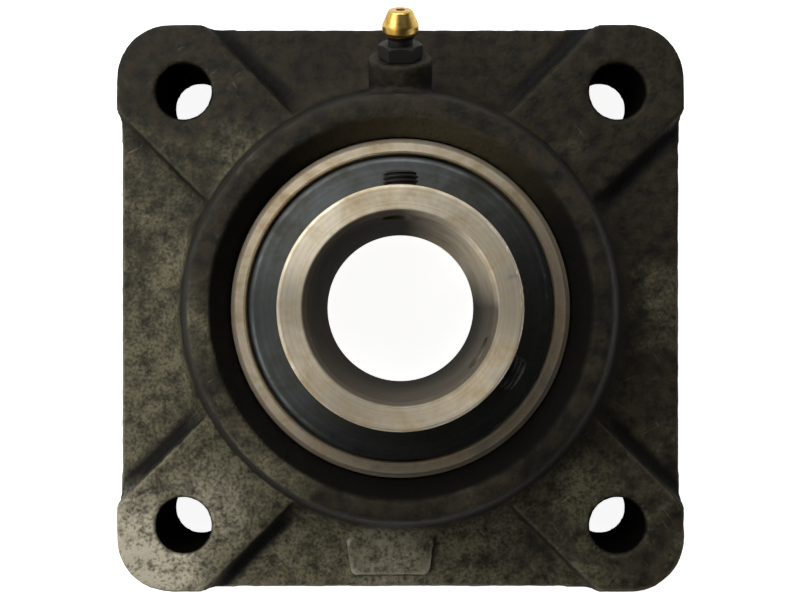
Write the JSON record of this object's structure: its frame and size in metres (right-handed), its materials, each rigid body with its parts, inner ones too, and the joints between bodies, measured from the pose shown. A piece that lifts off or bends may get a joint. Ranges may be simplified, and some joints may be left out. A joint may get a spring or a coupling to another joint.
{
  "type": "flange bearing unit",
  "caption": "Square flange bearing unit: a self-aligning ball bearing insert with a wide inner ring in a cast housing, held by a bolt at each corner.",
  "frame": {"origin": "centre of the back mounting face, on the shaft's axis", "axes": "+Z along the shaft bore towards the front of the unit, +Y towards the grease nipple"},
  "size_m": [0.109, 0.109, 0.0402],
  "materials": {
    "housing_iron": "black paint on a sand casting",
    "nipple_brass": "turned brass",
    "ball_steel": "polished bearing steel",
    "spring_steel": "drawn wire",
    "ring_steel": "ground bearing steel with a film of preservative oil",
    "screw_steel": "black oxide",
    "flinger_steel": "dark slate coating on pressed sheet",
    "plate_steel": "pressed sheet",
    "lip_rubber": "moulded nitrile rubber",
    "cage_steel": "pressed sheet"
  },
  "bodies": {
    "cast_housing": {"housing": "housing_iron", "grease_nipple": "nipple_brass", "nipple_spring": "spring_steel"},
    "outer_race": {"outer_ring": "ring_steel", "seal_front_plate": "plate_steel", "seal_front_lip": "lip_rubber", "seal_rear_plate": "plate_steel", "seal_rear_lip": "lip_rubber"},
    "inner_race": {"inner_ring": "ring_steel", "set_screws": "screw_steel", "flinger_front": "flinger_steel", "flinger_rear": "flinger_steel"},
    "ball_cage": {"cage_front": "cage_steel", "cage_rear": "cage_steel", "cage_rivets": "cage_steel"},
    "check_valve": {"nipple_ball": "ball_steel"},
    "rolling_ball_1": {"ball_1": "ball_steel"},
    "rolling_ball_2": {"ball_2": "ball_steel"},
    "rolling_ball_3": {"ball_3": "ball_steel"},
    "rolling_ball_4": {"ball_4": "ball_steel"},
    "rolling_ball_5": {"ball_5": "ball_steel"},
    "rolling_ball_6": {"ball_6": "ball_steel"},
    "rolling_ball_7": {"ball_7": "ball_steel"},
    "rolling_ball_8": {"ball_8": "ball_steel"},
    "rolling_ball_9": {"ball_9": "ball_steel"}
  },
  "joints": [
    {"name": "insert_swivel", "type": "hinge", "parent": "cast_housing", "child": "outer_race", "pos_m": [0, 0, 0.018], "axis": [1, 0, 0], "range_deg": [-2, 2]},
    {"name": "shaft_spin", "type": "hinge", "parent": "outer_race", "child": "inner_race", "pos_m": [0, 0, 0.018], "axis": [0, 0, 1], "continuous": true},
    {"name": "cage_spin", "type": "hinge", "parent": "outer_race", "child": "ball_cage", "pos_m": [0, 0, 0.018], "axis": [0, 0, 1], "continuous": true},
    {"name": "ball_1_spin", "type": "hinge", "parent": "ball_cage", "child": "rolling_ball_1", "pos_m": [0, 0.023, 0.018], "axis": [0, 0, 1], "continuous": true},
    {"name": "ball_2_spin", "type": "hinge", "parent": "ball_cage", "child": "rolling_ball_2", "pos_m": [-0.01478, 0.01762, 0.018], "axis": [0, 0, 1], "continuous": true},
    {"name": "ball_3_spin", "type": "hinge", "parent": "ball_cage", "child": "rolling_ball_3", "pos_m": [-0.02265, 0.00399, 0.018], "axis": [0, 0, 1], "continuous": true},
    {"name": "ball_4_spin", "type": "hinge", "parent": "ball_cage", "child": "rolling_ball_4", "pos_m": [-0.01992, -0.0115, 0.018], "axis": [0, 0, 1], "continuous": true},
    {"name": "ball_5_spin", "type": "hinge", "parent": "ball_cage", "child": "rolling_ball_5", "pos_m": [-0.00787, -0.02161, 0.018], "axis": [0, 0, 1], "continuous": true},
    {"name": "ball_6_spin", "type": "hinge", "parent": "ball_cage", "child": "rolling_ball_6", "pos_m": [0.00787, -0.02161, 0.018], "axis": [0, 0, 1], "continuous": true},
    {"name": "ball_7_spin", "type": "hinge", "parent": "ball_cage", "child": "rolling_ball_7", "pos_m": [0.01992, -0.0115, 0.018], "axis": [0, 0, 1], "continuous": true},
    {"name": "ball_8_spin", "type": "hinge", "parent": "ball_cage", "child": "rolling_ball_8", "pos_m": [0.02265, 0.00399, 0.018], "axis": [0, 0, 1], "continuous": true},
    {"name": "ball_9_spin", "type": "hinge", "parent": "ball_cage", "child": "rolling_ball_9", "pos_m": [0.01478, 0.01762, 0.018], "axis": [0, 0, 1], "continuous": true},
    {"name": "check_ball_slide", "type": "slide", "parent": "cast_housing", "child": "check_valve", "axis": [0, -0.8192, -0.5736], "range_m": [0, 0.0008], "stiffness_N_per_m": 900, "springref_m": -0.0005, "deforming": ["nipple_spring"]}
  ],
  "couplings": [
    {"joint": "cage_spin", "follows": "shaft_spin", "ratio": 0.39647},
    {"joint": "ball_1_spin", "follows": "shaft_spin", "ratio": -2.3112},
    {"joint": "ball_2_spin", "follows": "shaft_spin", "ratio": -2.3112},
    {"joint": "ball_3_spin", "follows": "shaft_spin", "ratio": -2.3112},
    {"joint": "ball_4_spin", "follows": "shaft_spin", "ratio": -2.3112},
    {"joint": "ball_5_spin", "follows": "shaft_spin", "ratio": -2.3112},
    {"joint": "ball_6_spin", "follows": "shaft_spin", "ratio": -2.3112},
    {"joint": "ball_7_spin", "follows": "shaft_spin", "ratio": -2.3112},
    {"joint": "ball_8_spin", "follows": "shaft_spin", "ratio": -2.3112},
    {"joint": "ball_9_spin", "follows": "shaft_spin", "ratio": -2.3112}
  ]
}
